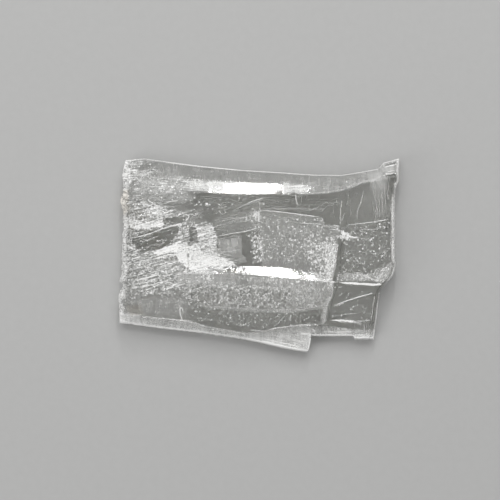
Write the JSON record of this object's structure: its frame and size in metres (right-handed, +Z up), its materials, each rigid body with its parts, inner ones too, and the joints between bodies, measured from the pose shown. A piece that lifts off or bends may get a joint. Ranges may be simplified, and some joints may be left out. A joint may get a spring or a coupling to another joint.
{
  "type": "selenite crystal",
  "caption": "Clear cleaved selenite plate with long polished slopes, stepped terraces, a frosted broken end and a pointed spur, lying flat.",
  "frame": {"origin": "middle of the plate's box, on the flat cleavage face that it lies on", "axes": "+X along the plate's length and striations, towards the cleaved end; +Y across the plate, towards the long back edge; +Z up from the resting face, the thickness"},
  "size_m": [0.0784, 0.0543, 0.011],
  "materials": {
    "selenite": "clear and glassy on cleavage faces, frosted white on broken ends"
  },
  "bodies": {
    "root": {"selenite_crystal": "selenite"}
  },
  "joints": []
}
